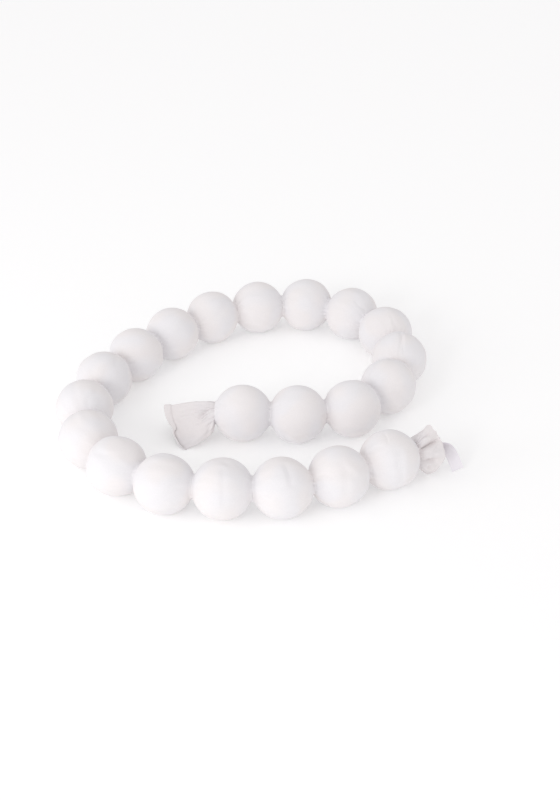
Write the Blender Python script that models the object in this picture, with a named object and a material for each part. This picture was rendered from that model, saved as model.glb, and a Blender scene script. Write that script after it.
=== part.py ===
# Ball garland: soft balls in one thin cotton tube, drawn in tight between each two balls.
# It lies on a table in an open, inward curling loop. Both ends of the tube flare out
# past the last ball, and one of them carries a narrow ribbon.
# Metres, +Z up. The table is z = 0 and the origin is under the middle of the footprint.

import math

import bmesh
import bpy
from mathutils import Matrix, Vector

# Driving dimensions
BALL_RADIUS = 0.030
SPACING = 1.91 * BALL_RADIUS  # soft balls press into each other where the tube is drawn in
NECK_RADIUS = 0.40 * BALL_RADIUS
FLAT_DEPTH = 0.0006  # how far the table presses a ball flat
GAP = 0.0003  # between two pieces that touch
CLOTH = 0.0016  # the tube's cloth, crumpled and doubled where it ends

# Fineness of the solids
SIDES = 24  # points round a ball's girth
BANDS = 8  # bands of a ball from shoulder to shoulder
TAIL_SIDES = 36

# The gathers round each neck: every second point stands out
GATHER = 0.0007
GATHER_AT_SHOULDER = 0.0004

# Places along the string
BALL_HEIGHT = BALL_RADIUS - FLAT_DEPTH
NECK_REACH = (SPACING - GAP) / 2
FIRST_HEADING = -153.3  # degrees, from the first ball to the second, 0 along +X

# The curl of the string. Each row: stretch, balls in it, turn at each ball in degrees.
CURL = (
    ("start of the front row", 1, -9.8),
    ("dip of the front row", 1, -17.6),
    ("end of the front row", 1, -8.9),
    ("left bend, front", 2, -22.5),
    ("left bend, middle", 2, -25.2),
    ("left bend, back", 1, -17.4),
    ("slant to the back row", 2, -9.2),
    ("back row", 2, -17.5),
    ("right bend", 5, -27.8),
    ("turn inwards", 1, -36.8),
    ("inner row", 1, -12.5),
)

# The open mouths of the two tails. Each row: place on the edge, its direction as seen
# round the neck (0 left of the string as it leaves the last ball, 90 on top), its reach
# out of the neck, its distance to the left and its height over the table, in mm.
RIBBON_TAIL = (
    ("top lobe", 88, 18.5, 1.5, 54.0),
    ("upper lobe, front", 112, 19.5, -6.0, 51.5),
    ("upper crease", 136, 21.0, -10.0, 44.5),
    ("middle lobe, top", 156, 26.0, -14.0, 39.5),
    ("middle lobe, ridge", 180, 25.5, -21.0, 30.5),
    ("lower crease", 204, 25.0, -18.5, 23.0),
    ("lower lobe, ridge", 228, 22.0, -18.0, 13.5),
    ("lower lobe, foot", 252, 14.0, -11.0, 2.5),
    ("foot", 276, 16.0, 0.0, 0.6),
    ("back lobe, foot", 308, 18.0, 13.0, 9.0),
    ("back lobe, ridge", 340, 22.0, 22.5, 21.0),
    ("back crease", 366, 18.0, 18.0, 31.0),
    ("back lobe, top", 396, 21.0, 15.5, 39.0),
    ("top crease", 424, 16.5, 8.0, 46.0),
)
PLAIN_TAIL = (
    ("tip of the ridge", 100, 53.5, -6.0, 31.5),
    ("front edge, upper", 66, 50.0, 3.0, 22.5),
    ("front edge, notch", 34, 43.0, 9.5, 14.0),
    ("front edge, below the notch", 18, 42.5, 14.0, 10.5),
    ("front edge, lower", -8, 36.0, 22.5, 3.5),
    ("front corner", -40, 28.5, 26.0, 0.4),
    ("floor edge, front", -65, 30.0, 14.0, 0.2),
    ("floor edge, middle", -95, 33.0, 0.0, 0.2),
    ("floor edge, back", -125, 35.0, -14.0, 0.2),
    ("back corner", -155, 37.0, -26.0, 0.4),
    ("back edge, lower", -185, 43.0, -20.0, 10.0),
    ("back edge, upper", -222, 51.0, -12.0, 23.0),
)

# The main folds in the walls of the tails. Each row: fold, the row of the edge that it
# runs to, how many rows it spans to each side, how deep it is in mm (less than nothing
# stands out), and where it is deepest, from 0 at the neck to 1 at the edge.
RIBBON_TAIL_FOLDS = (
    ("upper crease", 2.0, 1.0, 4.5, 0.35),
    ("upper lobe", 0.5, 1.2, -3.0, 0.45),
    ("middle lobe", 3.6, 1.2, -2.0, 0.40),
    ("lower crease", 5.0, 0.8, 3.0, 0.50),
    ("lower lobe", 6.6, 1.6, -6.0, 0.30),
    ("back crease", 11.0, 1.0, 4.0, 0.40),
    ("back lobe", 9.8, 1.2, -2.0, 0.45),
    ("top crease", 13.0, 1.0, 3.5, 0.40),
)
PLAIN_TAIL_FOLDS = (
    ("top ridge", 0.0, 1.2, -4.0, 0.50),
    ("nip over the neck", 0.0, 2.5, 2.5, 0.12),
    ("dent by the neck", 1.6, 1.2, 1.8, 0.30),
    ("front swell", 3.6, 1.4, -1.5, 0.40),
    ("under the front corner", 5.2, 1.8, -7.5, 0.35),
    ("dent at the back", 10.4, 1.4, 2.5, 0.35),
)
TAIL_SHARES = (0.0, 0.15, 0.3, 0.5, 0.75, 1.0)  # where the rings of a tail's wall lie
TAIL_LEAVES = 0.003  # a tail runs on this far along the string before it spreads
POCKET_RINGS = 3  # rings of the wall that its bunched neck takes up
POCKET_DEPTH = 0.006  # the bunched cloth at a tail's neck, before its hollow begins
RIBBON_POCKET = 0.007  # the radius of the hollow there, in each tail
PLAIN_POCKET = 0.005
NECK_MIDDLE = Vector((GAP / 2, 0.0, BALL_HEIGHT))
POCKET_MIDDLE = Vector((POCKET_DEPTH, 0.0, BALL_HEIGHT))

# The ribbon. Each row: place, reach out of the neck, distance to the left, height,
# width there, in mm, and where its face looks: degrees to the left, degrees up.
RIBBON_THICK = 0.0010
RIBBON_ROUTE = (
    ("sewn into the gathers", 6.3, 0.0, 29.4, 9.0, 0, 90),
    ("straight out of the gathers", 11.0, 0.0, 29.4, 10.0, 0, 90),
    ("in the mouth of the tail", 20.0, 0.0, 30.5, 12.0, 0, 88),
    ("top of the bow", 29.5, -1.5, 32.0, 12.0, 30, 70),
    ("over the bow", 36.0, -5.0, 28.0, 12.0, 50, 30),
    ("falling", 40.5, -9.5, 19.0, 12.0, 63, -15),
    ("low", 43.5, -14.0, 9.5, 12.0, 63, -30),
    ("free end", 45.5, -17.5, 2.6, 12.0, 63, -35),
)
RIBBON_STEPS = 3  # sections between two rows of the route


def cloth_material(name, colour, roughness):
    """A matt, non-metallic material in a linear colour."""
    material = bpy.data.materials.new(name)
    material.use_nodes = True
    shader = material.node_tree.nodes["Principled BSDF"]
    shader.inputs["Base Color"].default_value = (*colour, 1.0)
    shader.inputs["Roughness"].default_value = roughness
    shader.inputs["Metallic"].default_value = 0.0
    return material


def loft(name, rings, material):
    """A closed solid through rings of points, each ring with the same number of points."""
    shape = bmesh.new()
    loops = [[shape.verts.new(point) for point in ring] for ring in rings]
    for low, high in zip(loops, loops[1:]):
        for k, start in enumerate(low):
            after = (k + 1) % len(low)
            shape.faces.new((start, low[after], high[after], high[k]))
    shape.faces.new(reversed(loops[0]))
    shape.faces.new(loops[-1])
    bmesh.ops.recalc_face_normals(shape, faces=shape.faces)
    return finished(name, shape, material)


def finished(name, shape, material):
    """Turns a bmesh into a smooth shaded object of its own."""
    mesh = bpy.data.meshes.new(name)
    shape.to_mesh(mesh)
    shape.free()
    mesh.shade_smooth()
    mesh.set_sharp_from_angle(angle=math.radians(40))
    mesh.materials.append(material)
    piece = bpy.data.objects.new(name, mesh)
    bpy.context.scene.collection.objects.link(piece)
    return piece


def turns():
    """The turn of the string at each ball, in radians. It runs straight into both tails."""
    table = [math.radians(turn) for _, balls, turn in CURL for _ in range(balls)]
    return [0.0, *table, 0.0]


def string():
    """For each ball: its middle, the mean heading of the string there, and its turn."""
    heading = math.radians(FIRST_HEADING)
    middle = Vector((0.0, 0.0, BALL_HEIGHT))
    stations = []
    for turn in turns():
        stations.append((middle.copy(), heading + turn / 2, turn))
        heading += turn
        middle += SPACING * Vector((math.cos(heading), math.sin(heading), 0.0))
    return stations


def shoulder_angle():
    """Where the cloth leaves the ball to run straight to the neck, seen from the middle."""
    rim = Vector((NECK_REACH, NECK_RADIUS))
    return math.atan2(rim.y, rim.x) + math.acos(BALL_RADIUS / rim.length)


def girth_ring(along, radius, gather):
    """A ring round the string, with every second point out by the gather."""
    ring = []
    for k in range(SIDES):
        out = radius + (gather if k % 2 else -gather)
        angle = 2 * math.pi * k / SIDES
        ring.append(Vector((along, out * math.cos(angle), out * math.sin(angle))))
    return ring


def turned_with_string(point, turn):
    """Swings both necks of a ball towards its neighbours. The round middle stays round."""
    share = min(1.0, abs(point.x) / (BALL_RADIUS * math.cos(shoulder_angle())))
    share = share * share * (3 - 2 * share)
    swing = math.copysign(turn / 2, turn * point.x) * share
    return Matrix.Rotation(swing, 3, "Z") @ point


def covered_ball(name, middle, heading, turn, material):
    """One ball in its cloth, from neck to neck, pressed flat where it rests."""
    shoulder = shoulder_angle()
    rings = [girth_ring(NECK_REACH, NECK_RADIUS, GATHER)]
    for band in range(BANDS + 1):
        angle = shoulder + (math.pi - 2 * shoulder) * band / BANDS
        gather = GATHER_AT_SHOULDER if band in (0, BANDS) else 0.0
        along, radius = BALL_RADIUS * math.cos(angle), BALL_RADIUS * math.sin(angle)
        rings.append(girth_ring(along, radius, gather))
    rings.append(girth_ring(-NECK_REACH, NECK_RADIUS, GATHER))
    rings = [[turned_with_string(point, turn) for point in ring] for ring in rings]
    ball = loft(name, rings, material)
    press_flat(ball.data, BALL_HEIGHT)
    ball.location = middle
    ball.rotation_euler.z = heading
    return ball


def press_flat(mesh, below):
    """Cuts the underside off level, that far below the mesh's middle, and closes it."""
    shape = bmesh.new()
    shape.from_mesh(mesh)
    cut = bmesh.ops.bisect_plane(
        shape,
        geom=[*shape.verts, *shape.edges, *shape.faces],
        plane_co=(0.0, 0.0, -below),
        plane_no=(0.0, 0.0, -1.0),
        clear_outer=True,
    )
    edges = [part for part in cut["geom_cut"] if isinstance(part, bmesh.types.BMEdge)]
    bmesh.ops.contextual_create(shape, geom=edges)
    bmesh.ops.recalc_face_normals(shape, faces=shape.faces)
    shape.to_mesh(mesh)
    shape.free()


def smooth(a, b, c, d, t):
    """A smooth curve from b to c, t of the way, that comes from a and goes on to d."""
    return 0.5 * (
        2 * b + (c - a) * t + (2 * a - 5 * b + 4 * c - d) * t**2 + (3 * b - a - 3 * c + d) * t**3
    )


def through(points, share):
    """A point on the smooth closed curve through these points, share 0 to 1 of the way."""
    at = share * len(points)
    k = int(at)
    return smooth(*(points[(k + step) % len(points)] for step in (-1, 0, 1, 2)), at - k)


def tail(name, mouth, folds, pocket_radius, material):
    """The open end of the tube: bunched at the neck, then a thin spread wall with folds."""
    edge = [Vector((reach, left, height)) / 1000 for _, _, reach, left, height in mouth]
    rows = [k / TAIL_SIDES * len(mouth) for k in range(TAIL_SIDES)]
    outer = [wall_ring(mouth, edge, folds, rows, share) for share in TAIL_SHARES]
    inner = [inset(ring) for ring in outer[POCKET_RINGS:]]
    pocket = [POCKET_MIDDLE + pocket_radius * round_neck(mouth, row) for row in rows]
    rings = [settled(ring, 0.0) for ring in outer]
    rings += [settled(ring, CLOTH) for ring in (*inner[::-1], pocket)]
    return loft(name, rings, material)


def wall_ring(mouth, edge, folds, rows, share):
    """A tail's outline at this share of the way from its neck to its mouth."""
    ring = []
    for k, row in enumerate(rows):
        out = round_neck(mouth, row)
        gather = GATHER * (1 if k % 2 else -1) * (1 - share)
        root = NECK_MIDDLE + (NECK_RADIUS + gather) * out
        leave = root + Vector((TAIL_LEAVES, 0.0, 0.0))
        goal = through(edge, row / len(mouth))
        point = root * (1 - share) ** 2 + leave * 2 * share * (1 - share) + goal * share**2
        ring.append(point - fold_depth(folds, row, len(mouth), share) * out)
    return ring


def fold_depth(folds, row, rows, share):
    """How far the folds push the wall in at this place on it, in metres."""
    depth = 0.0
    for _, place, span, deep, deepest in folds:
        aside = abs((row - place + rows / 2) % rows - rows / 2) / span
        along = abs(share - deepest) / (deepest if share < deepest else 1 - deepest)
        depth += deep / 1000 * max(0.0, 1 - aside**2) * (1 - along**2)
    return depth


def round_neck(mouth, row):
    """The direction out of the neck at a place between two rows of the mouth."""
    k = int(row)
    here = mouth[k][1]
    after = mouth[(k + 1) % len(mouth)][1]
    if k + 1 == len(mouth):
        after += math.copysign(360, here - after)
    angle = math.radians(here + (after - here) * (row - k))
    return Vector((0.0, math.cos(angle), math.sin(angle)))


def inset(cover):
    """The cover's ring again, one cloth thickness further in."""
    count = len(cover)
    middle = sum(cover, Vector()) / count
    moved = []
    for k, point in enumerate(cover):
        along = cover[(k + 1) % count] - cover[k - 1]
        side = along.cross(Vector((1.0, 0.0, 0.0))).normalized()
        moved.append(point + math.copysign(CLOTH, side.dot(middle - point)) * side)
    return moved


def settled(ring, lowest):
    """The ring with nothing lower than the table, or than the cloth's lower layer."""
    return [Vector((point.x, point.y, max(point.z, lowest))) for point in ring]


def ribbon(name, material):
    """A narrow woven ribbon that leaves the tail, bows over and falls to the table."""
    rows = [
        (Vector((reach, left, height)) / 1000, looking(aside, up), width / 1000)
        for _, reach, left, height, width, aside, up in RIBBON_ROUTE
    ]
    line = []
    for k in range(len(rows) - 1):
        a, b, c, d = (rows[min(max(k + step, 0), len(rows) - 1)] for step in (-1, 0, 1, 2))
        for step in range(RIBBON_STEPS):
            t = step / RIBBON_STEPS
            point = smooth(a[0], b[0], c[0], d[0], t)
            line.append((point, b[1].lerp(c[1], t), b[2] + (c[2] - b[2]) * t))
    line.append(rows[-1])
    rings = []
    for k, (point, faces, width) in enumerate(line):
        along = line[min(k + 1, len(line) - 1)][0] - line[max(k - 1, 0)][0]
        side = along.cross(faces).normalized() * width / 2
        thick = side.cross(along).normalized() * RIBBON_THICK / 2
        corners = ((1, 1), (-1, 1), (-1, -1), (1, -1))
        rings.append([point + side * a + thick * b for a, b in corners])
    return loft(name, rings, material)


def looking(aside, up):
    """The direction that is so many degrees to the left, and so many degrees up."""
    aside, up = math.radians(aside), math.radians(up)
    return Vector((math.cos(up) * math.cos(aside), math.cos(up) * math.sin(aside), math.sin(up)))


def set_past(piece, middle, heading):
    """Sets a tail or the ribbon at the neck on that side of a ball."""
    reach = SPACING / 2
    piece.location = (middle.x + reach * math.cos(heading), middle.y + reach * math.sin(heading), 0.0)
    piece.rotation_euler.z = heading
    return piece


def stand_over_origin(pieces):
    """Hangs the pieces on an empty, placed so that the origin is under their middle."""
    carrier = bpy.data.objects.new("garland", None)
    bpy.context.scene.collection.objects.link(carrier)
    bpy.context.view_layer.update()
    points = [piece.matrix_world @ vertex.co for piece in pieces for vertex in piece.data.vertices]
    for axis in (0, 1):
        values = [point[axis] for point in points]
        carrier.location[axis] = -(min(values) + max(values)) / 2
    for piece in pieces:
        piece.parent = carrier


def main():
    for old in list(bpy.data.objects):
        bpy.data.objects.remove(old)
    cotton = cloth_material("white_cotton", (0.83, 0.80, 0.81), 0.9)
    satin = cloth_material("white_ribbon", (0.86, 0.84, 0.87), 0.55)
    stations = string()
    pieces = [
        covered_ball(f"ball_{number:02d}", middle, heading, turn, cotton)
        for number, (middle, heading, turn) in enumerate(stations, 1)
    ]
    ribbon_tail = tail("ribbon_tail", RIBBON_TAIL, RIBBON_TAIL_FOLDS, RIBBON_POCKET, cotton)
    plain_tail = tail("plain_tail", PLAIN_TAIL, PLAIN_TAIL_FOLDS, PLAIN_POCKET, cotton)
    first, first_heading, _ = stations[0]
    last, last_heading, _ = stations[-1]
    pieces.append(set_past(ribbon_tail, first, first_heading + math.pi))
    pieces.append(set_past(ribbon("ribbon", satin), first, first_heading + math.pi))
    pieces.append(set_past(plain_tail, last, last_heading))
    stand_over_origin(pieces)


main()
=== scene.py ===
import math

import bmesh
import bpy
import numpy as np
from mathutils import Matrix, Vector, noise


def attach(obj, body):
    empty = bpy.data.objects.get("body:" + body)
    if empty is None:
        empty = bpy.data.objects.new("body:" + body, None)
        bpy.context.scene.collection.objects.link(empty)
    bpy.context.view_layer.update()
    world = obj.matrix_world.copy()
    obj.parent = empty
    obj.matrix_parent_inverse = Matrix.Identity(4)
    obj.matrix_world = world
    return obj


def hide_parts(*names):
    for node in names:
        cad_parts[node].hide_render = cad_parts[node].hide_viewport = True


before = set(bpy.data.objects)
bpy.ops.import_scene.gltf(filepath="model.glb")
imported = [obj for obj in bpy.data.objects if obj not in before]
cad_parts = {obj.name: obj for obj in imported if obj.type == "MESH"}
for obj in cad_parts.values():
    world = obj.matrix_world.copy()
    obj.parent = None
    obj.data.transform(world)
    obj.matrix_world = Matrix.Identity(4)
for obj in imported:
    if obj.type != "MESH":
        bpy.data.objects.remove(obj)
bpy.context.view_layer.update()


# COVERED BALLS
# Twenty-one soft balls of light wadding in one long tube of thin cotton jersey. The tube
# is drawn in with thread between each two balls, so its cloth is smooth over a ball's
# girth and falls into uneven pleats towards both necks. Each ball rests on the table.

BALL_RADIUS = 0.030
SPACING = 1.91 * BALL_RADIUS
NECK_RADIUS = 0.0119
NECK_REACH = SPACING / 2
RESTING_HEIGHT = 0.0294
FIRST_BALL = Vector((0.13105, -0.13360, RESTING_HEIGHT))
FIRST_HEADING = -153.3
TURNS = (0, -9.8, -17.6, -8.9, -22.5, -22.5, -25.2, -25.2, -17.4, -9.2, -9.2, -17.5, -17.5,
         -27.8, -27.8, -27.8, -27.8, -27.8, -36.8, -12.5, 0)
GIRTH = 2 * math.pi * BALL_RADIUS
ROWS_ALONG = 96
COLUMNS_ROUND = 192


def hex_colour(code):
    """A colour of the usual screen code as linear values with full opacity."""
    parts = [int(code[k:k + 2], 16) / 255 for k in (0, 2, 4)]
    return (*(p / 12.92 if p <= 0.04045 else ((p + 0.055) / 1.055) ** 2.4 for p in parts), 1.0)


def add(tree, kind, *feeds, out=0, named=None, **settings):
    """Adds a node, sets or links its inputs in order and by name, and gives back an output."""
    node = tree.nodes.new(kind)
    for name, value in settings.items():
        setattr(node, name, value)
    for key, value in (*enumerate(feeds), *(named or {}).items()):
        if isinstance(value, bpy.types.NodeSocket):
            tree.links.new(value, node.inputs[key])
        elif value is not None:
            node.inputs[key].default_value = value
    return node.outputs[out] if len(node.outputs) else node


def new_material(name):
    """An empty node material and its shader."""
    material = bpy.data.materials.new(name)
    material.use_nodes = True
    return material, material.node_tree, material.node_tree.nodes["Principled BSDF"]


# Cotton jersey, bleached and unprinted: a fine plain knit, matt, with a soft down on it that
# lightens it where it is seen edge on. Its stitches are 0.7 mm wide, which no picture of the
# whole garland shows, so they are drawn 1.2 mm wide, and low. Two whites that hardly differ
# lie over it in clouds of some 26 mm, and specks of lint of about 1 mm.
WALES_ROUND = 157
COURSE = 0.0011
STITCH_HEIGHT = 0.00012
CLOUDS_A_METRE = 38.0
LINT_A_METRE = 900.0

jersey, tree, shader = new_material("bleached cotton jersey")
shader.inputs["Roughness"].default_value = 0.92
shader.inputs["Specular IOR Level"].default_value = 0.25
shader.inputs["Sheen Weight"].default_value = 0.06
shader.inputs["Sheen Roughness"].default_value = 0.5
shader.inputs["Sheen Tint"].default_value = hex_colour("FFF6F2")
place = add(tree, "ShaderNodeTexCoord", out="Object")
cloudy = add(tree, "ShaderNodeTexNoise", place, named={"Scale": CLOUDS_A_METRE, "Detail": 0.0})
tint = add(tree, "ShaderNodeMapRange", cloudy, 0.38, 0.62, 0.0, 1.0)
shade = add(tree, "ShaderNodeMix", data_type="RGBA", out=2,
            named={0: tint, 6: hex_colour("EFEBEB"), 7: hex_colour("EDEBED")})
lint = add(tree, "ShaderNodeTexNoise", place, named={"Scale": LINT_A_METRE, "Detail": 0.0})
specks = add(tree, "ShaderNodeMapRange", lint, 0.3, 0.7, 0.98, 1.0)
tone = add(tree, "ShaderNodeMix", data_type="RGBA", blend_type="MULTIPLY", out=2,
           named={0: 1.0, 6: shade, 7: specks})
tree.links.new(tone, shader.inputs["Base Color"])
cloth_map = add(tree, "ShaderNodeUVMap", uv_map="cloth")
across = add(tree, "ShaderNodeSeparateXYZ", cloth_map)
along = across.node.outputs[1]
wale = add(tree, "ShaderNodeMath", across, float(WALES_ROUND), operation="MULTIPLY")
leg = add(tree, "ShaderNodeMath", wale, 1.0, operation="PINGPONG")
course = add(tree, "ShaderNodeMath", along, GIRTH / COURSE, operation="MULTIPLY")
slant = add(tree, "ShaderNodeMath", course, leg, operation="ADD")
loop = add(tree, "ShaderNodeMath", slant, 2 * math.pi, operation="MULTIPLY")
yarn = add(tree, "ShaderNodeMath", loop, operation="SINE")
raised = add(tree, "ShaderNodeMath", yarn, leg, operation="MULTIPLY")
stitched = add(tree, "ShaderNodeBump",
               named={"Strength": 0.12, "Distance": STITCH_HEIGHT, "Height": raised})
tree.links.new(stitched, shader.inputs["Normal"])

# The rule of a cover: a ball between two short necks that run to the next balls', round the
# string's line along X. Each row: result, operation, what goes in.
SHOULDER_RADIUS = 0.0129
SHOULDER_REACH = math.sqrt(BALL_RADIUS**2 - SHOULDER_RADIUS**2)
COVER_RULE = (
    ("angle", "MULTIPLY", "round", 2 * math.pi),
    ("left", "COSINE", "angle"),
    ("up", "SINE", "angle"),
    ("bent", "MULTIPLY", "share", math.pi / 2),
    ("sine", "SINE", "bent"),
    ("x", "MULTIPLY", "sine", "Neck reach"),
    ("away", "ABSOLUTE", "x"),
    ("side", "SIGN", "x"),
    ("on ball", "MINIMUM", "away", "Shoulder reach"),
    ("squared", "MULTIPLY", "on ball", "on ball"),
    ("radius squared", "MULTIPLY", "Ball radius", "Ball radius"),
    ("difference", "SUBTRACT", "radius squared", "squared"),
    ("ball part", "SQRT", "difference"),
    ("past shoulder", "SUBTRACT", "away", "on ball"),
    ("cone length", "SUBTRACT", "Neck reach", "Shoulder reach"),
    ("cone", "DIVIDE", "past shoulder", "cone length"),
    ("cone drop", "SUBTRACT", "Shoulder radius", "Neck radius"),
    ("drop", "MULTIPLY", "cone", "cone drop"),
    ("plain", "SUBTRACT", "ball part", "drop"),
    # each neck has a seed of its own, which the next ball's cover shares
    ("beyond", "GREATER_THAN", "x", 0.0),
    ("seed change", "SUBTRACT", "Seed after", "Seed before"),
    ("seed step", "MULTIPLY", "beyond", "seed change"),
    ("neck seed", "ADD", "Seed before", "seed step"),
)

maker = bpy.data.node_groups.new("gathered cover", "GeometryNodeTree")
for kind, names in (
    ("Geometry", ("Geometry",)),
    ("Float", ("Ball radius", "Neck radius", "Neck reach", "Shoulder reach", "Shoulder radius",
               "Resting height", "Turn", "Pleats", "Pleat depth", "Slack", "Seed before",
               "Seed after", "Ball seed")),
    ("Int", ("Rows", "Columns")),
    ("Material", ("Cloth",)),
):
    for name in names:
        maker.interface.new_socket(name, in_out="INPUT", socket_type=f"NodeSocket{kind}")
maker.interface.new_socket("Geometry", in_out="OUTPUT", socket_type="NodeSocketGeometry")
given = add(maker, "NodeGroupInput").node
known = {socket.name: socket for socket in given.outputs if socket.name}
grid = add(maker, "GeometryNodeMeshGrid", 2.0, 1.0, known["Rows"], known["Columns"])
spot = add(maker, "GeometryNodeInputPosition")
known["share"] = add(maker, "ShaderNodeSeparateXYZ", spot)
known["y"] = known["share"].node.outputs[1]
known["round"] = add(maker, "ShaderNodeMath", known["y"], 0.5, operation="ADD")


def work_out(tree, known, rule):
    """Adds a row of the rule after the other; a name stands for an earlier result."""
    for result, operation, *feeds in rule:
        feeds = [known[feed] if isinstance(feed, str) else feed for feed in feeds]
        known[result] = add(tree, "ShaderNodeMath", *feeds, operation=operation)


work_out(maker, known, COVER_RULE)
circle = add(maker, "ShaderNodeCombineXYZ", known["left"], known["up"], 0.0)
for result, scale in (("sway", 1.1), ("strength", 1.7), ("length", 1.4)):
    start = add(maker, "ShaderNodeMath", known["neck seed"], scale * 31.7, operation="ADD")
    known[result] = add(maker, "ShaderNodeTexNoise", noise_dimensions="4D",
                        named={"Vector": circle, "W": start, "Scale": scale, "Detail": 0.0})
line_point = add(maker, "ShaderNodeCombineXYZ", known["x"], known["left"], known["up"])
# the hollows are some 38 mm apart along the string, and wider round it
hollows_a_metre = add(maker, "ShaderNodeCombineXYZ", 26.0, 1.7, 1.7)
soft_point = add(maker, "ShaderNodeVectorMath", line_point, hollows_a_metre, operation="MULTIPLY")
known["hollows"] = add(maker, "ShaderNodeTexNoise", noise_dimensions="4D", named={
    "Vector": soft_point, "W": known["Ball seed"], "Scale": 1.0, "Detail": 1.0})
PLEAT_RULE = (
    # pleats: round ridges with narrow valleys, uneven in width, depth and reach
    ("reach", "DIVIDE", "away", "Neck reach"),
    ("start", "MULTIPLY_ADD", "length", 0.8, 0.28),
    ("room", "SUBTRACT", 1.0, "start"),
    ("past start", "SUBTRACT", "reach", "start"),
    ("rise", "DIVIDE", "past start", "room"),
    ("risen", "MAXIMUM", "rise", 0.0),
    ("fade", "POWER", "risen", 1.6),
    ("swayed", "MULTIPLY_ADD", "sway", 2.4, "angle"),
    ("half turns", "MULTIPLY", "swayed", "Pleats"),
    ("phase", "MULTIPLY", "half turns", 0.5),
    ("wave", "SINE", "phase"),
    ("wave squared", "MULTIPLY", "wave", "wave"),
    ("rounded", "ADD", "wave squared", 0.02),
    ("ridge", "SQRT", "rounded"),
    ("ridge middle", "SUBTRACT", "ridge", 0.75),
    ("force", "MULTIPLY_ADD", "strength", 1.6, 0.2),
    ("deep", "MULTIPLY", "Pleat depth", "force"),
    ("deep here", "MULTIPLY", "deep", "fade"),
    ("pleat", "MULTIPLY", "ridge middle", "deep here"),
    # the slack between the pleats: low, soft swells and hollows over the wadding
    ("swell", "SUBTRACT", "hollows", 0.5),
    ("swell depth", "MULTIPLY", "swell", "Slack"),
    ("neck room", "MULTIPLY_ADD", "reach", -5.0, 5.0),
    ("swell room", "MINIMUM", "neck room", 1.0),
    ("outer", "ADD", "plain", "pleat"),
    ("radius", "MULTIPLY_ADD", "swell depth", "swell room", "outer"),
    # the ends are drawn shut inside the neck
    ("to the end", "ABSOLUTE", "share"),
    ("open", "LESS_THAN", "to the end", 0.9999),
    ("radius drawn", "MULTIPLY", "radius", "open"),
    ("inset", "MULTIPLY_ADD", "open", 0.04, 0.96),
    ("x drawn", "MULTIPLY", "x", "inset"),
    ("y drawn", "MULTIPLY", "radius drawn", "left"),
    ("z drawn", "MULTIPLY", "radius drawn", "up"),
    ("lowest", "MULTIPLY", "Resting height", -1.0),
    ("z resting", "MAXIMUM", "z drawn", "lowest"),
    # both necks swing towards the next balls, and the round middle stays round
    ("swing share", "DIVIDE", "on ball", "Shoulder reach"),
    ("swing square", "MULTIPLY", "swing share", "swing share"),
    ("swing left", "MULTIPLY_ADD", "swing share", -2.0, 3.0),
    ("swing eased", "MULTIPLY", "swing square", "swing left"),
    ("half turn", "MULTIPLY", "Turn", 0.5),
    ("swing side", "MULTIPLY", "half turn", "side"),
    ("swing", "MULTIPLY", "swing side", "swing eased"),
    ("cosine", "COSINE", "swing"),
    ("sine of swing", "SINE", "swing"),
    ("x part", "MULTIPLY", "x drawn", "cosine"),
    ("y part", "MULTIPLY", "y drawn", "sine of swing"),
    ("x end", "SUBTRACT", "x part", "y part"),
    ("x cross", "MULTIPLY", "x drawn", "sine of swing"),
    ("y cross", "MULTIPLY", "y drawn", "cosine"),
    ("y end", "ADD", "x cross", "y cross"),
    # the cloth's own length along the string, in girths, for its pattern
    ("tilt sine", "DIVIDE", "on ball", "Ball radius"),
    ("tilt", "ARCSINE", "tilt sine"),
    ("ball length", "MULTIPLY", "tilt", "Ball radius"),
    ("length here", "ADD", "past shoulder", "ball length"),
    ("signed length", "MULTIPLY", "length here", "side"),
    ("pattern", "DIVIDE", "signed length", GIRTH),
)
work_out(maker, known, PLEAT_RULE)
point = add(maker, "ShaderNodeCombineXYZ", known["x end"], known["y end"], known["z resting"])
flat_point = add(maker, "ShaderNodeCombineXYZ", known["round"], known["pattern"], 0.0)
mapped = add(maker, "GeometryNodeStoreNamedAttribute", data_type="FLOAT2", domain="CORNER",
             named={"Geometry": grid, "Name": "cloth", "Value": flat_point})
shaped = add(maker, "GeometryNodeSetPosition", named={"Geometry": mapped, "Position": point})
closed = add(maker, "GeometryNodeMergeByDistance", named={"Geometry": shaped, "Distance": 0.000002})
smoothed = add(maker, "GeometryNodeSetShadeSmooth", named={"Geometry": closed})
real = add(maker, "GeometryNodeRealizeInstances", smoothed)
clothed = add(maker, "GeometryNodeSetMaterial",
              named={"Geometry": real, "Material": known["Cloth"]})
add(maker, "NodeGroupOutput", clothed)


def stations():
    """For each ball: its middle, the mean heading of the string there, and its turn."""
    heading, middle, found = math.radians(FIRST_HEADING), FIRST_BALL.copy(), []
    for turn in map(math.radians, TURNS):
        found.append((middle.copy(), heading + turn / 2, turn))
        heading += turn
        middle += SPACING * Vector((math.cos(heading), math.sin(heading), 0.0))
    return found


def made_plain(maker_object, name):
    """The evaluated object as a plain mesh object of its own, without its modifier."""
    bpy.context.view_layer.update()
    ready = maker_object.evaluated_get(bpy.context.evaluated_depsgraph_get())
    mesh = bpy.data.meshes.new_from_object(ready)
    mesh.name = name
    piece = bpy.data.objects.new(name, mesh)
    bpy.context.scene.collection.objects.link(piece)
    bpy.data.objects.remove(maker_object)
    return piece


def facing_out(mesh):
    """Merges doubles and turns all faces outwards."""
    shape = bmesh.new()
    shape.from_mesh(mesh)
    bmesh.ops.remove_doubles(shape, verts=shape.verts, dist=1e-6)
    bmesh.ops.recalc_face_normals(shape, faces=shape.faces)
    shape.to_mesh(mesh)
    shape.free()


# The balls at the front left show hardly any gathers.
SMOOTH_NECKED = (4, 5, 6, 7)
SHALLOW_PLEATS, DEEP_PLEATS = 0.0006, 0.0016
PLEATS_ROUND = 13.0
SLACK = 0.0034

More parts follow.
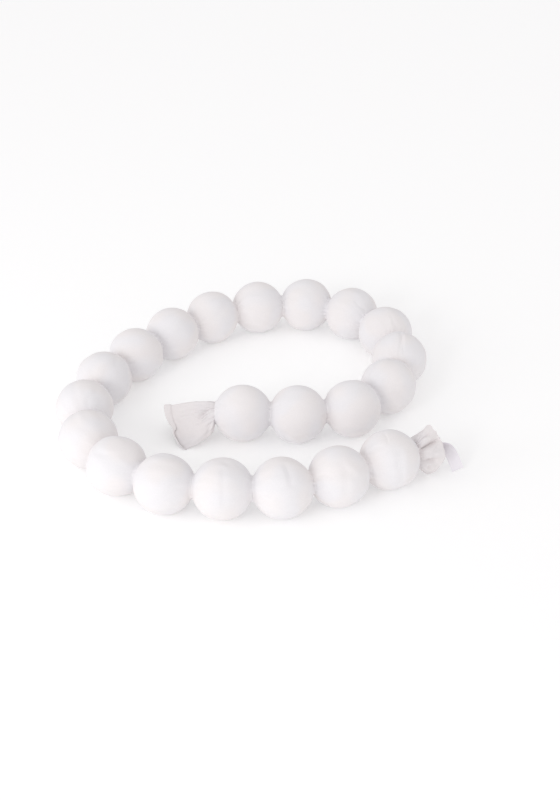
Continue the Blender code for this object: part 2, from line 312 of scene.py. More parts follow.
covers = []
for number, (middle, heading, turn) in enumerate(stations(), 1):
    blank = bpy.data.objects.new("blank", bpy.data.meshes.new("blank"))
    bpy.context.scene.collection.objects.link(blank)
    gathering = blank.modifiers.new("gathering", "NODES")
    gathering.node_group = maker
    sizes = {
        "Ball radius": BALL_RADIUS, "Neck radius": NECK_RADIUS, "Neck reach": NECK_REACH,
        "Shoulder reach": SHOULDER_REACH, "Shoulder radius": SHOULDER_RADIUS,
        "Resting height": RESTING_HEIGHT, "Turn": turn, "Pleats": PLEATS_ROUND,
        "Pleat depth": SHALLOW_PLEATS if number in SMOOTH_NECKED else DEEP_PLEATS,
        "Slack": SLACK, "Seed before": float(number), "Seed after": number + 1.0,
        "Ball seed": 3.7 * number, "Rows": ROWS_ALONG, "Columns": COLUMNS_ROUND + 1,
        "Cloth": jersey,
    }
    for socket in maker.interface.items_tree:
        if socket.name in sizes:
            gathering[socket.identifier] = sizes[socket.name]
    cover = made_plain(blank, f"cover_{number:02d}")
    cover.data.transform(Matrix.Translation(middle) @ Matrix.Rotation(heading, 4, "Z"))
    facing_out(cover.data)
    covers.append(cover)

# The creases on the balls, placed one by one. Each row: ball, crease, places that it runs
# through as degrees along the string and degrees round it (0 left, 90 on top), its half
# width and depth in metres, and how much one side of it stands higher than the other.
CREASES = (
    (1, "step from the top", ((3, 108), (8, 88), (15, 69)), 0.0013, 0.00040, 1.0),
    (1, "short nip", ((11, 34), (14, 19)), 0.0010, 0.00040, 0.0),
    (1, "long fold over the front", ((-3, 55), (4, 22), (2, -30)), 0.0045, 0.00060, 1.2),
    (1, "pull from the second neck", ((62, 95), (40, 80), (22, 72)), 0.0018, 0.00055, 0.4),
    (1, "pull under it", ((62, 30), (44, 24), (28, 12)), 0.0016, 0.00050, -0.4),
    (2, "slanting fold", ((9, 64), (-4, 46), (-16, 26)), 0.0042, 0.00055, 1.2),
    (2, "upright fold", ((0, 51), (5, 18), (9, -13)), 0.0045, 0.00050, 1.1),
    (2, "pull from the third neck", ((62, 60), (45, 55), (30, 40)), 0.0018, 0.00050, 0.3),
    (3, "edge over the front", ((-2, 90), (-7, 61), (-7, 37)), 0.0034, 0.00055, -1.2),
    (3, "pull from the fourth neck", ((63, 20), (45, 25), (30, 15)), 0.0017, 0.00045, 0.3),
    (4, "hollow on top", ((0, 104), (-14, 92), (-26, 81)), 0.0040, 0.00060, 0.2),
    (4, "upright fold", ((-2, 84), (-6, 40), (-7, -4)), 0.0032, 0.00040, -0.8),
    (5, "pull to the fourth neck", ((-62, 40), (-42, 35), (-25, 20)), 0.0018, 0.00030, 0.3),
    (5, "crumple low by the fourth neck", ((-60, 10), (-49, -4), (-37, -2)), 0.0016, 0.00050, 0.4),
    (5, "crumple under it", ((-61, -14), (-51, -24), (-40, -22)), 0.0015, 0.00045, 0.3),
    (6, "low fold", ((-30, 70), (-5, 55), (20, 50)), 0.0030, 0.00040, 0.6),
    (7, "pucker at the eighth neck", ((62, 108), (50, 102), (38, 103)), 0.0015, 0.00050, 0.2),
    (7, "pucker beside it", ((62, 84), (52, 80), (44, 82)), 0.0014, 0.00045, -0.2),
    (8, "pull to the neck", ((-60, 120), (-38, 112), (-15, 118)), 0.0026, 0.00032, 0.4),
    (9, "slanting fold", ((40, 95), (15, 120), (-10, 130)), 0.0028, 0.00045, 0.7),
    (10, "pull to the neck", ((60, 150), (40, 140), (20, 145)), 0.0020, 0.00045, 0.3),
    (12, "low fold", ((-25, 150), (0, 140), (20, 120)), 0.0030, 0.00040, 0.6),
    (13, "pull to the neck", ((62, 170), (42, 160), (22, 165)), 0.0018, 0.00040, 0.3),
    (15, "pull to the neck", ((60, 110), (38, 120), (18, 112)), 0.0020, 0.00050, 0.5),
    (16, "pull to the neck", ((60, 80), (40, 92), (15, 88)), 0.0020, 0.00045, 0.4),
    (17, "lengthwise fold", ((-22, 86), (15, 84), (58, 83)), 0.0022, 0.00070, 1.2),
    (18, "pull to the neck", ((-60, 100), (-35, 92), (-12, 96)), 0.0022, 0.00050, 0.5),
    (20, "curved crease", ((-8, 99), (-37, 102), (-60, 112)), 0.0017, 0.00045, 0.7),
    (20, "low fold", ((30, -5), (8, -18), (-15, -22)), 0.0034, 0.00050, 0.4),
    (20, "corner at the bottom", ((-6, -44), (4, -50)), 0.0060, -0.0009, 0.0),
    (20, "flat beside it", ((20, -16), (34, -30)), 0.0090, 0.0010, 0.0),
    (21, "short nip", ((36, 96), (28, 80), (20, 66)), 0.0013, 0.00035, 0.3),
    (21, "pull to the fan", ((63, 70), (45, 62), (30, 50)), 0.0018, 0.00050, 0.3),
)


def smooth(a, b, c, d, t):
    """A smooth curve from b to c, t of the way, that comes from a and goes on to d."""
    return 0.5 * (
        2 * b + (c - a) * t + (2 * a - 5 * b + 4 * c - d) * t**2 + (3 * b - a - 3 * c + d) * t**3
    )


# Where the tube's seam lies on each ball, in degrees round the string: it starts low inside
# the curl, passes under the string at the left and comes up over the right bend.
SEAM_ROUND = (212, 215, 219, 224, 230, 238, 248, 260, 273, 287, 300, 310, 319, 330, 352, 388,
              444, 480, 510, 530, 545)
SEAM_HALF_WIDTH = 0.0012
SEAM_DEPTH = 0.00035


def pressed(spots, middle, heading, number):
    """Presses the creases and the seam of one ball into its points."""
    ahead = np.array((math.cos(heading), math.sin(heading), 0.0))
    aside = np.array((-math.sin(heading), math.cos(heading), 0.0))
    away = spots - np.array(middle)
    reach = np.linalg.norm(away, axis=1, keepdims=True)
    away = away / reach
    tip = np.degrees(np.arcsin(np.clip(away @ ahead, -1, 1)))
    turned = np.degrees(np.arctan2(away[:, 2], away @ aside))
    depth = np.zeros(len(spots))
    for ball, _, places, half_width, deep, lean in CREASES:
        if ball != number:
            continue
        knots = []
        for along, around in places:
            along, around = math.radians(along), math.radians(around)
            level = math.cos(along)
            knots.append(math.sin(along) * ahead + level * math.cos(around) * aside
                         + np.array((0.0, 0.0, level * math.sin(around))))
        path = [knots[0]]
        for k in range(len(knots) - 1):
            a, b, c, d = (knots[min(max(k + step, 0), len(knots) - 1)] for step in (-1, 0, 1, 2))
            path += [smooth(a, b, c, d, t / 6) for t in range(1, 7)]
        path = np.array(path)
        nearest, share, side = np.full(len(spots), 9.0), np.zeros(len(spots)), np.zeros(len(spots))
        for k in range(len(path) - 1):
            step = path[k + 1] - path[k]
            t = np.clip((away - path[k]) @ step / (step @ step), 0, 1)
            off = away - path[k] - t[:, None] * step
            far = np.linalg.norm(off, axis=1)
            closer = far < nearest
            nearest = np.where(closer, far, nearest)
            share = np.where(closer, (k + t) / (len(path) - 1), share)
            side = np.where(closer, np.sign(off @ np.cross(path[k], step)), side)
        off = nearest * BALL_RADIUS / half_width
        taper = np.clip(np.minimum(share, 1 - share) * 4, 0, 1) ** 0.7
        taper = taper * np.exp(-np.clip(off - 2.2, 0, None) ** 2)
        depth += deep * taper * (np.exp(-off**2) - lean * side * off * np.exp(-off**2 / 1.6))
    ends = (SEAM_ROUND + (SEAM_ROUND[-1] + 12,))
    after = ends[number]
    before = ends[number - 2] if number > 1 else ends[0] - 4
    here = SEAM_ROUND[number - 1]
    lie = here + np.where(tip > 0, (after - here) / 2, (here - before) / 2) * tip / 72
    off = (turned - lie + 180) % 360 - 180
    off = np.radians(off) * np.cos(np.radians(tip)) * BALL_RADIUS / SEAM_HALF_WIDTH
    depth += SEAM_DEPTH * (np.exp(-off**2) - 0.45 * np.exp(-(np.abs(off) - 1.7) ** 2))
    free = np.clip((spots[:, 2] - 0.0006) / 0.002, 0, 1) * np.clip((68 - np.abs(tip)) / 10, 0, 1)
    return spots - away * (depth * free)[:, None]


for number, (cover, (middle, heading, _)) in enumerate(zip(covers, stations()), 1):
    spots = np.empty(len(cover.data.vertices) * 3)
    cover.data.vertices.foreach_get("co", spots)
    spots = pressed(spots.reshape(-1, 3), middle, heading, number)
    spots[:, 2] = np.maximum(spots[:, 2], 0.0)
    cover.data.vertices.foreach_set("co", spots.ravel())
    cover.data.set_sharp_from_angle(angle=math.radians(60))
    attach(cover, "root")
    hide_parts(f"ball_{number:02d}")


# RUFFLE AT THE RIBBON END
# The tube runs on past the first ball and ends in a short flared ruffle of the same jersey,
# cut straight across and left raw. The thread round its neck gathers it tightly, so it
# stands out in three lobes with deep creases between them, and its edge frays a little.

MM = 0.001
JERSEY_THICK = 0.0009
STEPS_ROUND = 288
BUNCHED_LENGTH = 0.005
# Each row: place on the edge, its direction round the neck in degrees (0 left of the string
# as it leaves the last ball, 90 on top), and in mm: reach out of the neck, distance to the
# left, height.
RUFFLE_EDGE = (
    ("top lobe", 88, 17.0, 1.5, 54.5),
    ("upper lobe, front", 112, 19.5, -6.5, 52.5),
    ("upper crease", 136, 21.5, -10.0, 45.0),
    ("middle lobe, top", 156, 23.0, -14.0, 40.0),
    ("middle lobe, ridge", 180, 21.8, -21.0, 31.5),
    ("lower crease", 204, 22.8, -18.5, 23.5),
    ("lower lobe, ridge", 228, 19.0, -18.0, 15.0),
    ("lower lobe, foot", 252, 15.5, -13.5, 6.2),
    ("foot", 276, 11.0, -3.0, 1.8),
    ("back lobe, foot", 308, 18.0, 13.0, 9.0),
    ("back lobe, ridge", 340, 22.0, 22.5, 21.0),
    ("back crease", 366, 18.0, 18.0, 31.0),
    ("back lobe, top", 396, 21.0, 15.5, 39.0),
    ("top crease", 424, 16.5, 8.0, 48.5),
)
# Each row: fold, the place on the edge that it runs to, how many places it spans to each
# side, how deep it is in mm (less than nothing stands out), and where it is deepest, from 0
# at the neck to 1 at the rim.
RUFFLE_FOLDS = (
    ("upper crease", 2.15, 0.55, 3.9, 0.66),
    ("upper lobe", 0.6, 1.2, -4.2, 0.50),
    ("roll over the upper crease", 1.45, 0.6, -3.2, 0.50),
    ("middle lobe", 3.4, 1.3, -4.6, 0.50),
    ("lower crease", 4.95, 0.7, 3.0, 0.50),
    ("lower lobe", 6.3, 1.7, -6.5, 0.35),
    ("foot lobe", 7.6, 1.2, -3.0, 0.50),
    ("back crease", 11.0, 1.0, 6.0, 0.40),
    ("back lobe", 9.8, 1.2, -2.5, 0.45),
    ("top crease", 12.9, 0.8, 3.0, 0.40),
    ("nip in the back lobe", 9.2, 0.45, 2.4, 0.50),
)
# Each row: short crease, its middle as a place on the edge and a share of the way to the rim,
# its half width in places and half length as a share, how it slants, and its depth in mm.
RUFFLE_NIPS = (
    ("over the lower lobe", 4.75, 0.68, 0.24, 0.10, 1.5, 3.4),
    ("in the lower lobe", 5.75, 0.60, 0.26, 0.12, 1.4, 3.0),
    ("beside the neck", 4.2, 0.40, 0.30, 0.12, 0.0, 1.8),
    ("in the middle lobe", 3.2, 0.78, 0.28, 0.16, -1.8, 1.4),
    ("on the middle lobe", 4.1, 0.74, 0.26, 0.12, 1.6, 1.3),
    ("in the upper lobe", 0.9, 0.66, 0.30, 0.20, 0.8, 1.8),
    ("on the left shoulder", 0.1, 0.52, 0.36, 0.14, 0.0, 2.0),
    ("low on the right", 5.4, 0.84, 0.30, 0.12, 1.6, 1.6),
    ("low on the left", 7.0, 0.50, 0.30, 0.14, 0.0, 1.6),
    ("pinch over the lower lobe", 5.0, 0.64, 0.15, 0.07, 1.0, 2.4),
    ("pinch in the lower lobe", 6.0, 0.62, 0.15, 0.07, 1.0, 2.4),
    ("end of the upper crease", 2.25, 0.86, 0.20, 0.12, 0.0, 1.8),
)
# Each row: place on the edge, radius of the roll of its rim in mm, how far it is rolled, in
# degrees outwards (less than nothing: inwards), and how many mm of cloth go on after that.
RUFFLE_ROLL = ((0, 0.9, 20, 0.3), (2, 0.9, 15, 0.3), (3, 1.2, -45, 0.3), (4, 1.4, -90, 0.3),
               (6, 1.6, -120, 0.3), (7, 1.4, -80, 0.3), (8, 0.9, -10, 0.3), (10, 1.4, -50, 0.3),
               (12, 0.9, 15, 0.3))


def round_neck(edge, row):
    """The direction out of the neck at a place between two rows of the edge."""
    k = int(row)
    here, after = edge[k][1], edge[(k + 1) % len(edge)][1]
    if k + 1 == len(edge):
        after += math.copysign(360, here - after)
    angle = math.radians(here + (after - here) * (row - k))
    return Vector((0.0, math.cos(angle), math.sin(angle)))


def fold_depth(folds, row, rows, share):
    """How far the folds push the cloth in at this place on it."""
    depth = 0.0
    for _, place, span, deep, deepest in folds:
        aside = abs((row - place + rows / 2) % rows - rows / 2) / span
        along = abs(share - deepest) / (deepest if share < deepest else 1 - deepest)
        across = max(0.0, 1 - aside) ** 1.4 if deep > 0 else max(0.0, 1 - aside**2) ** 1.5
        depth += deep * MM * across * max(0.0, 1 - along**2)
    return depth


def end_pleats(cover, middle, out_of_it):
    """How far the pleats at a cover's end stand out, by direction round the neck."""
    away = np.array([vertex.co - middle for vertex in cover.data.vertices])
    ahead = np.array((math.cos(out_of_it), math.sin(out_of_it), 0.0))
    left = away @ np.array((-ahead[1], ahead[0], 0.0))
    radius = np.hypot(left, away[:, 2])
    rim = (away @ ahead > NECK_REACH - 0.00002) & (radius > 0.4 * NECK_RADIUS)
    turned = np.degrees(np.arctan2(away[rim, 2], left[rim])) % 360
    order = np.argsort(turned)
    return lambda direction: float(
        np.interp(direction % 360, turned[order], radius[rim][order], period=360)
    )


def faces_of(rings):
    """Where each point of a flared sheet faces: away from the inside of the tube."""
    round_step = np.roll(rings, -1, axis=1) - np.roll(rings, 1, axis=1)
    facing = np.cross(round_step, np.gradient(rings, axis=0))
    facing /= np.linalg.norm(facing, axis=2, keepdims=True) + 1e-12
    away = rings[4] - rings[4].mean(axis=0)
    return facing if (facing[4] * away).sum() > 0 else -facing


def rolled_rim(last, ahead, facing, roll, count):
    """Rings that roll the rim up and go on from the roll, after the last ring of a sheet."""
    places = np.arange(len(last)) / len(last) * count
    radius, rolled, band = (
        np.interp(places, [row[0] for row in roll], [row[k] for row in roll], period=count)[:, None]
        for k in (1, 2, 3)
    )
    least_turn = 8
    turns = np.radians(np.where(np.abs(rolled) < least_turn, least_turn, rolled))
    side = np.sign(turns)
    rim = [
        last + radius * MM * (np.sin(np.abs(turns) * t) * ahead
                              + side * (1 - np.cos(turns * t)) * facing)
        for t in np.arange(1, 13) / 12
    ]
    onward = np.cos(turns) * ahead + side * np.sin(np.abs(turns)) * facing
    return rim + [rim[-1] + onward * band * MM * t for t in np.arange(1, 9) / 8]


def flared_end(edge, folds, nips, roll, pleats, fray, seed, rows_out):
    """The outer and the inner face of the open end of the tube, as rings from neck to rim."""
    lip = [Vector((reach, left, height)) * MM for _, _, reach, left, height in edge]
    count = len(edge)
    coarse_seed, fine_seed = Vector((seed, 0, 0)), Vector((0, seed, 0))
    outer = []
    for k in range(STEPS_ROUND):
        row = k / STEPS_ROUND * count
        out = round_neck(edge, row)
        neck = pleats(math.degrees(math.atan2(out.z, out.y)))
        # the cloth leaves the neck along the string, and swings out to the edge
        root = Vector((0.0, 0.0, RESTING_HEIGHT)) + neck * out
        leave = root + Vector((0.0030, 0.0, 0.0)) + 0.0012 * out
        n = int(row)
        goal = smooth(*(lip[(n + step) % count] for step in (-1, 0, 1, 2)), row - n)
        # the cut edge frays most on the lobe that stands up, at its first places
        turn = 2 * math.pi * row / count
        spot = Vector((math.cos(turn) * 9, math.sin(turn) * 9, seed))
        calm = 1 - 0.8 * min(1.0, max(0.0, row - 2.5)) if row < 9 else 0.6
        uneven = noise.noise(spot) + 0.5 * noise.noise(spot * 2.3)
        goal = goal + (goal - root).normalized() * fray * calm * uneven
        pleat_reach = 0.55 + 0.5 * noise.noise(spot / 5 + Vector((0, 0, 9)))
        line = []
        for j in range(rows_out + 1):
            share = (j / rows_out) ** 1.15
            point = root * (1 - share) ** 2 + leave * 2 * share * (1 - share) + goal * share**2
            pleat = (neck - NECK_RADIUS) * 0.8 * min(1.0, share * 10)
            push = pleat * max(0.0, 1 - share / pleat_reach) ** 2
            push -= fold_depth(folds, row, count, share)
            for _, place, middle, half_wide, half_long, slant, deep in nips:
                along = share - middle
                aside = (row - place - slant * along + count / 2) % count - count / 2
                push -= deep * MM * math.exp(-(aside / half_wide) ** 2 - (along / half_long) ** 2)
            crumple = noise.noise(point * 70 + coarse_seed) * 0.0013
            crumple += noise.noise(point * 190 + fine_seed) * 0.0004
            line.append(point + (push + crumple * min(1.0, share * 3)) * out)
        outer.append(line)
    outer = np.array(outer).transpose(1, 0, 2)
    ahead = outer[-1] - outer[-3]
    ahead /= np.linalg.norm(ahead, axis=1, keepdims=True)
    outer = np.concatenate([outer, rolled_rim(outer[-1], ahead, faces_of(outer)[-1], roll, count)])
    above_table = 0.00015
    outer[..., 2] = np.maximum(outer[..., 2], above_table)
    inner = outer - faces_of(outer) * JERSEY_THICK
    inner[..., 2] = np.maximum(inner[..., 2], above_table + 0.6 * JERSEY_THICK)
    return outer, inner


def sheet_object(name, outer, inner, material):
    """Joins a sheet's two faces at its rim, and closes the bunched neck between them."""
    rows, around = outer.shape[:2]
    start = outer[0].mean(axis=0)
    heart = start + np.array((BUNCHED_LENGTH, 0.0, 0.0))
    skip = max(2, rows // 6)
    hollow = inner[skip] - inner[skip].mean(axis=0)
    loops = [start + (outer[0] - start) * share for share in (0.02, 0.5, 0.98)]
    loops += [*outer, *inner[:skip - 1:-1]]
    loops += [heart + hollow * share for share in (0.45, 0.15, 0.02)]
    points = np.array(loops)
    total = len(points)
    steps = np.linalg.norm(np.diff(points, axis=0), axis=2).mean(axis=1)
    length = np.concatenate([[0.0], np.cumsum(steps)])
    faces, flat = [], []
    for j in range(total - 1):
        for k in range(around):
            for side, ring in ((k, j), (k + 1, j), (k + 1, j + 1), (k, j + 1)):
                faces.append(ring * around + side % around)
                flat.append((side / around, length[ring] / GIRTH))
    faces = [faces[n:n + 4] for n in range(0, len(faces), 4)]
    faces.append(list(range(around))[::-1])
    faces.append([(total - 1) * around + k for k in range(around)])
    flat += [(0.0, 0.0)] * (2 * around)
    mesh = bpy.data.meshes.new(name)
    mesh.from_pydata(points.reshape(-1, 3).tolist(), [], faces)
    mesh.uv_layers.new(name="cloth").data.foreach_set("uv", np.array(flat).ravel())
    mesh.materials.append(material)
    mesh.shade_smooth()
    mesh.set_sharp_from_angle(angle=math.radians(65))
    piece = bpy.data.objects.new(name, mesh)
    bpy.context.scene.collection.objects.link(piece)
    return piece


def set_past(piece, middle, heading):
    """Sets a flared end or the ribbon at the neck on that side of a ball."""
    ahead = Vector((math.cos(heading), math.sin(heading), 0.0))
    spot = Vector((middle.x, middle.y, 0.0)) + NECK_REACH * ahead
    piece.data.transform(Matrix.Translation(spot) @ Matrix.Rotation(heading, 4, "Z"))
    facing_out(piece.data)
    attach(piece, "root")
    return piece


# A single layer of the same jersey, with no wadding behind it, lets light through and so
# looks a little greyer than on the balls. Its darker whites are partly that and partly painted
# shade, for the shade that the ruffle and the fan lie in beside the end balls.
single_jersey_painted_shade = jersey.copy()
single_jersey_painted_shade.name = "single cotton jersey with painted shade"
for node in single_jersey_painted_shade.node_tree.nodes:
    if node.type == "MIX" and node.blend_type == "MIX":
        node.inputs[6].default_value = hex_colour("E7E2E2")
        node.inputs[7].default_value = hex_colour("E5E1E2")

first_middle, first_heading, _ = stations()[0]
neck_pleats = end_pleats(covers[0], first_middle, first_heading + math.pi)
outer, inner = flared_end(RUFFLE_EDGE, RUFFLE_FOLDS, RUFFLE_NIPS, RUFFLE_ROLL, neck_pleats,
                          fray=0.0012, seed=2.0, rows_out=44)
ruffle = sheet_object("ruffle", outer, inner, single_jersey_painted_shade)
set_past(ruffle, first_middle, first_heading + math.pi)
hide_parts("ribbon_tail")


# FAN AT THE PLAIN END
# The other open end of the tube, longer and less gathered: it flares out flat on the table
# in the middle of the curl. Its raw rim has curled back on itself, as cut jersey does, and
# lies as a narrow band, widest at the tip. The tables' rows say what the ruffle's do.

FAN_EDGE = (
    ("tip of the ridge", 100, 53.5, -6.0, 31.5),
    ("front edge, upper", 66, 50.0, 3.0, 22.5),
    ("front edge, notch", 34, 43.0, 9.5, 14.0),
    ("front edge, below the notch", 18, 42.5, 14.0, 10.5),
    ("front edge, lower", -8, 36.0, 22.5, 3.5),
    ("front corner", -40, 28.5, 26.0, 0.4),
    ("floor edge, front", -65, 30.0, 14.0, 0.2),
    ("floor edge, middle", -95, 33.0, 0.0, 0.2),
    ("floor edge, back", -125, 35.0, -14.0, 0.2),
    ("back corner", -155, 37.0, -26.0, 0.4),
    ("back edge, lower", -185, 43.0, -20.0, 10.0),
    ("back edge, upper", -222, 51.0, -12.0, 23.0),
)
FAN_FOLDS = (
    ("top ridge", 0.0, 1.2, -4.0, 0.50),
    ("nip over the neck", 0.0, 2.5, 3.2, 0.12),
    ("front swell", 3.6, 1.4, -1.5, 0.45),
    ("under the front corner", 5.2, 1.8, -7.5, 0.35),
    ("drape under the neck", 4.8, 1.0, -2.5, 0.15),
    ("dent at the back", 10.4, 1.4, 2.5, 0.35),
)
FAN_NIPS = (
    ("hollow by the neck", 1.60, 0.44, 0.50, 0.13, 3.5, 4.0),
    ("edge of the hollow", 2.40, 0.46, 0.36, 0.15, 3.5, -1.8),
    ("tuck under the neck", 4.2, 0.33, 0.40, 0.14, 2.0, 2.2),
    ("long soft trough", 3.0, 0.72, 0.50, 0.18, -2.2, 1.2),
    ("upper trough", 0.8, 0.66, 0.40, 0.14, 1.4, 0.9),
    ("low trough", 4.2, 0.78, 0.35, 0.14, 0.9, 1.0),
)
FAN_ROLL = ((0, 0.5, 190, 6.5), (1, 0.5, 194, 5.2), (2, 0.5, 196, 2.2), (2.7, 0.5, 185, 0.6),
            (4.3, 0.5, 180, 0.8), (5, 0.5, 60, 0.3), (6, 0.5, 8, 0.3), (8, 0.5, 8, 0.3),
            (9, 0.5, 60, 0.3), (10, 0.5, 180, 2.0), (11, 0.5, 186, 5.0))

last_middle, last_heading, _ = stations()[-1]
neck_pleats = end_pleats(covers[-1], last_middle, last_heading)
outer, inner = flared_end(FAN_EDGE, FAN_FOLDS, FAN_NIPS, FAN_ROLL, neck_pleats,
                          fray=0.0006, seed=7.0, rows_out=52)
fan = sheet_object("fan", outer, inner, single_jersey_painted_shade)
set_past(fan, last_middle, last_heading)
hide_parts("plain_tail")


# RIBBON
# A narrow white satin ribbon for tying the garland up. It is sewn into the gathers of the
# first neck, comes out of the ruffle, bows over and hangs down to the table.

RIBBON_THICK = 0.00045
RIBBON_CROWN = 0.0004
SELVEDGE_FROM = 0.86
SELVEDGE_SHADE_FROM = 0.44
WEFT_SPACING = 0.0006
WEFT_HEIGHT = 0.00006
# Each row: place, and in mm: reach out of the neck, distance to the left, height and width;
# then where its face looks, in degrees to the left and up.
RIBBON_ROUTE = (
    ("sewn into the gathers", 6.3, 0.0, 29.4, 9.0, 0, 90),
    ("straight out of the gathers", 11.0, 0.0, 29.4, 10.0, 0, 90),
    ("in the mouth of the ruffle", 20.0, 0.0, 30.5, 12.0, 0, 88),
    ("top of the bow", 28.5, -1.5, 32.0, 12.0, 30, 70),
    ("over the bow", 34.0, -5.0, 28.3, 12.0, 50, 30),
    ("falling", 38.0, -9.5, 19.2, 12.0, 63, -15),
    ("low", 40.8, -14.0, 9.5, 12.0, 66, -28),
    ("free end", 42.4, -17.0, 2.4, 12.0, 70, -30),
)
RIBBON_STEPS = 12
RIBBON_ACROSS = 16

# Satin, closely woven: smooth with a soft gloss across the weft, which shows as very fine
# ribs. The selvedges are woven tighter, so they are a little thicker and greyer. The real
# weft is finer than 0.2 mm, so its ribs are drawn 0.6 mm apart.
satin, tree, shader = new_material("woven satin ribbon")
shader.inputs["Roughness"].default_value = 0.42
shader.inputs["Specular IOR Level"].default_value = 0.45
shader.inputs["Anisotropic"].default_value = 0.4
ribbon_map = add(tree, "ShaderNodeUVMap", uv_map="cloth")
over = add(tree, "ShaderNodeSeparateXYZ", ribbon_map)
down = over.node.outputs[1]
threads = add(tree, "ShaderNodeMath", down, 2 * math.pi / WEFT_SPACING, operation="MULTIPLY")
weft = add(tree, "ShaderNodeMath", threads, operation="SINE")
middle_off = add(tree, "ShaderNodeMath", over, 0.5, operation="SUBTRACT")
from_middle = add(tree, "ShaderNodeMath", middle_off, operation="ABSOLUTE")
selvedge = add(tree, "ShaderNodeMath", from_middle, SELVEDGE_SHADE_FROM, operation="GREATER_THAN")
satin_shade = add(tree, "ShaderNodeMix", data_type="RGBA", out=2,
                  named={0: selvedge, 6: hex_colour("EDE9EE"), 7: hex_colour("EAE6EC")})
tree.links.new(satin_shade, shader.inputs["Base Color"])
ribbed = add(tree, "ShaderNodeBump",
             named={"Strength": 0.12, "Distance": WEFT_HEIGHT, "Height": weft})
tree.links.new(ribbed, shader.inputs["Normal"])


def looking(aside, up):
    """The direction that is so many degrees to the left, and so many degrees up."""
    aside, up = math.radians(aside), math.radians(up)
    return Vector((math.cos(up) * math.cos(aside), math.cos(up) * math.sin(aside), math.sin(up)))


rows = [
    (Vector((reach, left, height)) * MM, looking(aside, up), width * MM)
    for _, reach, left, height, width, aside, up in RIBBON_ROUTE
]
line = []
for k in range(len(rows) - 1):
    a, b, c, d = (rows[min(max(k + step, 0), len(rows) - 1)] for step in (-1, 0, 1, 2))
    for step in range(RIBBON_STEPS):
        t = step / RIBBON_STEPS
        spot = smooth(a[0], b[0], c[0], d[0], t)
        line.append((spot, b[1].lerp(c[1], t), b[2] + (c[2] - b[2]) * t))
line.append(rows[-1])
front_face, back_face = [], []
crown = [a / RIBBON_ACROSS * 2 - 1 for a in range(RIBBON_ACROSS + 1)]
bend = [RIBBON_CROWN * (1 - a * a) for a in crown]
half = [RIBBON_THICK * (0.72 if abs(a) > SELVEDGE_FROM else 0.5) for a in crown]
for k, (point, faces, width) in enumerate(line):
    along_line = line[min(k + 1, len(line) - 1)][0] - line[max(k - 1, 0)][0]
    side = along_line.cross(faces).normalized() * width / 2
    lift = side.cross(along_line).normalized()
    for face, sign in ((front_face, 1), (back_face, -1)):
        face.append([point + side * a + lift * (b + sign * h)
                     for a, b, h in zip(crown, bend, half)])
shape = bmesh.new()
flat_layer = shape.loops.layers.uv.new("cloth")
loops = [[shape.verts.new(p) for p in (*front, *back[::-1])]
         for front, back in zip(front_face, back_face)]
places = [a / RIBBON_ACROSS for a in range(RIBBON_ACROSS + 1)]
places += places[::-1]
lengths = [0.0]
for before, after in zip(line, line[1:]):
    lengths.append(lengths[-1] + (after[0] - before[0]).length)
for j, (low, high) in enumerate(zip(loops, loops[1:])):
    for k, start in enumerate(low):
        after = (k + 1) % len(low)
        face = shape.faces.new((start, low[after], high[after], high[k]))
        corners = ((k, j), (after, j), (after, j + 1), (k, j + 1))
        for corner, (across_place, row) in zip(face.loops, corners):
            corner[flat_layer].uv = (places[across_place], lengths[row])
shape.faces.new(loops[0][::-1])
shape.faces.new(loops[-1])
ribbon_mesh = bpy.data.meshes.new("tie_ribbon")
shape.to_mesh(ribbon_mesh)
shape.free()
ribbon_mesh.shade_smooth()
ribbon_mesh.set_sharp_from_angle(angle=math.radians(50))
ribbon_mesh.materials.append(satin)
tie_ribbon = bpy.data.objects.new("tie_ribbon", ribbon_mesh)
bpy.context.scene.collection.objects.link(tie_ribbon)
set_past(tie_ribbon, first_middle, first_heading + math.pi)
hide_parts("ribbon")


# SETTING
# A plain white table under soft light, strongest from the front left, seen from the
# photo's place.

# White laminate, matt: it glows a little of its own, for the light that a white room
# would throw back on it.
table_material, tree, shader = new_material("white laminate table")
shader.inputs["Base Color"].default_value = hex_colour("EEEEEE")
shader.inputs["Roughness"].default_value = 0.8
shader.inputs["Emission Color"].default_value = (1.0, 1.0, 1.0, 1.0)
shader.inputs["Emission Strength"].default_value = 0.21
bpy.ops.mesh.primitive_plane_add(size=12, location=(0, 0, 0))
table = bpy.context.object
table.name = "table"
table.data.materials.append(table_material)

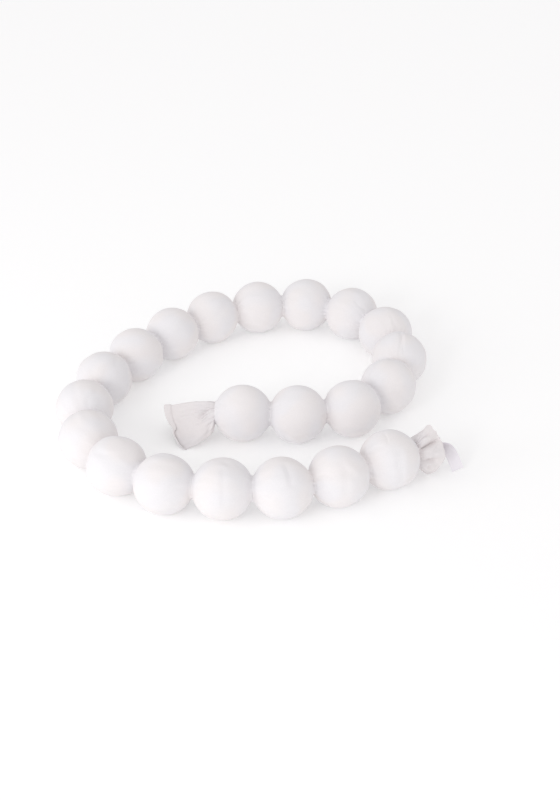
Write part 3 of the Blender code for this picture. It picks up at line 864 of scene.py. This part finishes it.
world = bpy.data.worlds.new("studio")
world.use_nodes = True
around = add(world.node_tree, "ShaderNodeTexCoord", out="Generated")
BRIGHT_SIDE = (-0.50, -0.70, -0.50)
DIMMEST, BRIGHTEST = 0.73, 1.07
lit_from = add(world.node_tree, "ShaderNodeVectorMath", around, BRIGHT_SIDE,
               operation="DOT_PRODUCT", out=1)
brightness = add(world.node_tree, "ShaderNodeMapRange", lit_from, -1.0, 1.0, DIMMEST, BRIGHTEST)
sky = world.node_tree.nodes["Background"]
sky.inputs[0].default_value = (1.0, 0.99, 0.995, 1.0)
world.node_tree.links.new(brightness, sky.inputs[1])
bpy.context.scene.world = world


def soft_light(name, place, target, size, power, colour):
    """A square soft light at a place, turned to a target."""
    light = bpy.data.lights.new(name, "AREA")
    light.size, light.energy, light.color = size, power, colour
    lamp = bpy.data.objects.new(name, light)
    lamp.location = place
    lamp.rotation_euler = (Vector(target) - Vector(place)).to_track_quat("-Z", "Y").to_euler()
    bpy.context.scene.collection.objects.link(lamp)
    return lamp


DAYLIGHT = (0.98, 0.99, 1.0)
soft_light("window", (-1.02, -0.58, 0.46), (0.0, -0.06, 0.03), 0.45, 1.35, DAYLIGHT)
soft_light("room", (-1.3, -2.0, 1.3), (0.0, 0.0, 0.03), 0.7, 9.0, DAYLIGHT)

VIEW_FORWARD = Vector((0.0, 0.8293, -0.5588)).normalized()
view_right = VIEW_FORWARD.cross(Vector((0.0199, 0.5587, 0.8291))).normalized()
view_up = view_right.cross(VIEW_FORWARD)
camera_data = bpy.data.cameras.new("camera")
camera_data.sensor_fit = "VERTICAL"
camera_data.sensor_height = 36.0
camera_data.lens = 58.545
camera_data.clip_start = 0.01
camera = bpy.data.objects.new("camera", camera_data)
turned = Matrix((view_right, view_up, -VIEW_FORWARD)).transposed().to_4x4()
camera.matrix_world = Matrix.Translation((0.02446, -1.16278, 0.7962)) @ turned
bpy.context.scene.collection.objects.link(camera)
bpy.context.scene.camera = camera

bpy.context.scene.view_settings.view_transform = "Standard"
bpy.context.scene.view_settings.look = "None"
bpy.context.scene.view_settings.exposure = 0.0
